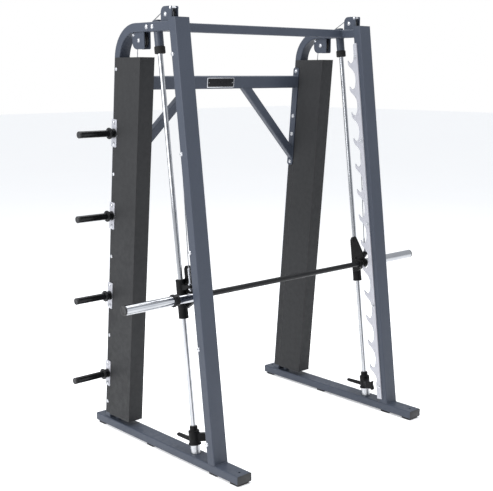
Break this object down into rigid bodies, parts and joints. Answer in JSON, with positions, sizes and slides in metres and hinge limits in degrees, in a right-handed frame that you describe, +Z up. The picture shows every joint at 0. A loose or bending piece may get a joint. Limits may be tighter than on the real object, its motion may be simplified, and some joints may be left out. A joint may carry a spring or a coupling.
{
  "type": "smith machine",
  "caption": "Counterbalanced smith machine with leaning guide rods, hook racks, rotating bar, safety stops and plate-storage horns.",
  "frame": {"origin": "on the floor, at the middle of the footprint, halfway between the side frames", "axes": "+X along the bar, to the right as seen from the front, +Y from the uprights towards the rear columns, +Z up"},
  "size_m": [2.2, 1.24, 2.3365],
  "materials": {
    "frame_paint": "satin slate-blue powder coat",
    "shroud_paint": "fine-textured charcoal powder coat",
    "cast_black": "black enamelled casting",
    "black_steel": "black coated steel",
    "chrome": "polished hard chrome",
    "bright_plate": "bright zinc-plated laser-cut plate",
    "zinc_bolt": "bright zinc",
    "black_plastic": "moulded black",
    "rubber": "black rubber",
    "grey_collar": "light grey collar",
    "cable": "stranded steel wire",
    "weight_steel": "raw cast block",
    "bearing": "ivory acetal bush",
    "badge": "plain anodised plate"
  },
  "bodies": {
    "frame": {"badge_plate": "badge", "base_caps": "black_plastic", "base_tube_left": "frame_paint", "base_tube_right": "frame_paint", "cable_front": "cable", "cable_over_wheels": "cable", "cable_rear_left": "cable", "cable_rear_right": "cable", "column_bolts": "zinc_bolt", "corner_brace_left": "frame_paint", "corner_brace_right": "frame_paint", "counterweight_guides": "zinc_bolt", "front_upright_left": "frame_paint", "front_upright_right": "frame_paint", "guide_brackets": "frame_paint", "guide_rod_left": "chrome", "guide_rod_right": "chrome", "hook_rack_left": "bright_plate", "hook_rack_right": "bright_plate", "horn_bases": "black_steel", "horn_caps": "black_plastic", "horn_flanges": "black_steel", "horn_plates": "bright_plate", "horn_sleeves": "black_steel", "pulley_bolts": "zinc_bolt", "pulley_brackets_left": "frame_paint", "pulley_brackets_right": "frame_paint", "rack_bolts": "zinc_bolt", "rear_crossbar": "frame_paint", "rear_gooseneck_left": "frame_paint", "rear_gooseneck_right": "frame_paint", "rod_bumpers": "rubber", "rod_feet": "grey_collar", "rod_sockets": "frame_paint", "rubber_feet": "rubber", "shroud_left": "shroud_paint", "shroud_right": "shroud_paint", "side_plates": "frame_paint", "top_crossbar": "frame_paint", "upright_caps": "frame_paint"},
    "carriages": {"carriage_left": "cast_black", "carriage_right": "cast_black", "linear_bearings": "bearing", "bar_bearings": "bearing", "cable_terminals": "zinc_bolt"},
    "bar": {"bar_shaft": "black_steel", "bar_sleeves": "chrome", "sleeve_flanges": "black_steel", "sleeve_end_caps": "black_plastic", "bar_hooks": "black_steel"},
    "counterweight_left": {"counterweight_left": "weight_steel"},
    "front_pulley_left": {"front_pulley_left": "black_plastic"},
    "rear_pulley_left": {"rear_pulley_left": "black_plastic"},
    "stop_bushing_left": {"stop_bushing_left": "bearing"},
    "safety_stop_left": {"safety_stop_left": "cast_black"},
    "counterweight_right": {"counterweight_right": "weight_steel"},
    "front_pulley_right": {"front_pulley_right": "black_plastic"},
    "rear_pulley_right": {"rear_pulley_right": "black_plastic"},
    "stop_bushing_right": {"stop_bushing_right": "bearing"},
    "safety_stop_right": {"safety_stop_right": "cast_black"}
  },
  "joints": [
    {"name": "carriage_slide", "type": "slide", "parent": "frame", "child": "carriages", "axis": [0, 0.1219, 0.9925], "range_m": [-0.4545, 1.0605], "deforming": ["cable_front"]},
    {"name": "bar_rotation", "type": "hinge", "parent": "carriages", "child": "bar", "pos_m": [0, -0.21444, 0.88469], "axis": [1, 0, 0], "range_deg": [0, 88]},
    {"name": "counterweight_left_slide", "type": "slide", "parent": "frame", "child": "counterweight_left", "axis": [0, -0.0872, 0.9962], "range_m": [-1.0605, 0.4545], "deforming": ["cable_rear_left"]},
    {"name": "front_pulley_left_spin", "type": "hinge", "parent": "frame", "child": "front_pulley_left", "pos_m": [-0.679, -0.062, 2.2965], "axis": [1, 0, 0], "continuous": true},
    {"name": "rear_pulley_left_spin", "type": "hinge", "parent": "frame", "child": "rear_pulley_left", "pos_m": [-0.679, 0.164, 2.1745], "axis": [1, 0, 0], "continuous": true},
    {"name": "stop_left_slide", "type": "slide", "parent": "frame", "child": "stop_bushing_left", "axis": [0, 0.1219, 0.9925], "range_m": [0, 0.4545]},
    {"name": "stop_left_turn", "type": "hinge", "parent": "stop_bushing_left", "child": "safety_stop_left", "pos_m": [-0.679, -0.22822, 0.14888], "axis": [0, -0.1219, -0.9925], "range_deg": [0, 9]},
    {"name": "counterweight_right_slide", "type": "slide", "parent": "frame", "child": "counterweight_right", "axis": [0, -0.0872, 0.9962], "range_m": [-1.0605, 0.4545], "deforming": ["cable_rear_right"]},
    {"name": "front_pulley_right_spin", "type": "hinge", "parent": "frame", "child": "front_pulley_right", "pos_m": [0.679, -0.062, 2.2965], "axis": [1, 0, 0], "continuous": true},
    {"name": "rear_pulley_right_spin", "type": "hinge", "parent": "frame", "child": "rear_pulley_right", "pos_m": [0.679, 0.164, 2.1745], "axis": [1, 0, 0], "continuous": true},
    {"name": "stop_right_slide", "type": "slide", "parent": "frame", "child": "stop_bushing_right", "axis": [0, 0.1219, 0.9925], "range_m": [0, 0.4545]},
    {"name": "stop_right_turn", "type": "hinge", "parent": "stop_bushing_right", "child": "safety_stop_right", "pos_m": [0.679, -0.22822, 0.14888], "axis": [0, 0.1219, 0.9925], "range_deg": [0, 9]}
  ],
  "couplings": [
    {"joint": "counterweight_left_slide", "follows": "carriage_slide", "ratio": -1},
    {"joint": "front_pulley_left_spin", "follows": "carriage_slide", "rad_per_m": -27.778},
    {"joint": "rear_pulley_left_spin", "follows": "carriage_slide", "rad_per_m": -27.778},
    {"joint": "counterweight_right_slide", "follows": "carriage_slide", "ratio": -1},
    {"joint": "front_pulley_right_spin", "follows": "carriage_slide", "rad_per_m": -27.778},
    {"joint": "rear_pulley_right_spin", "follows": "carriage_slide", "rad_per_m": -27.778}
  ]
}
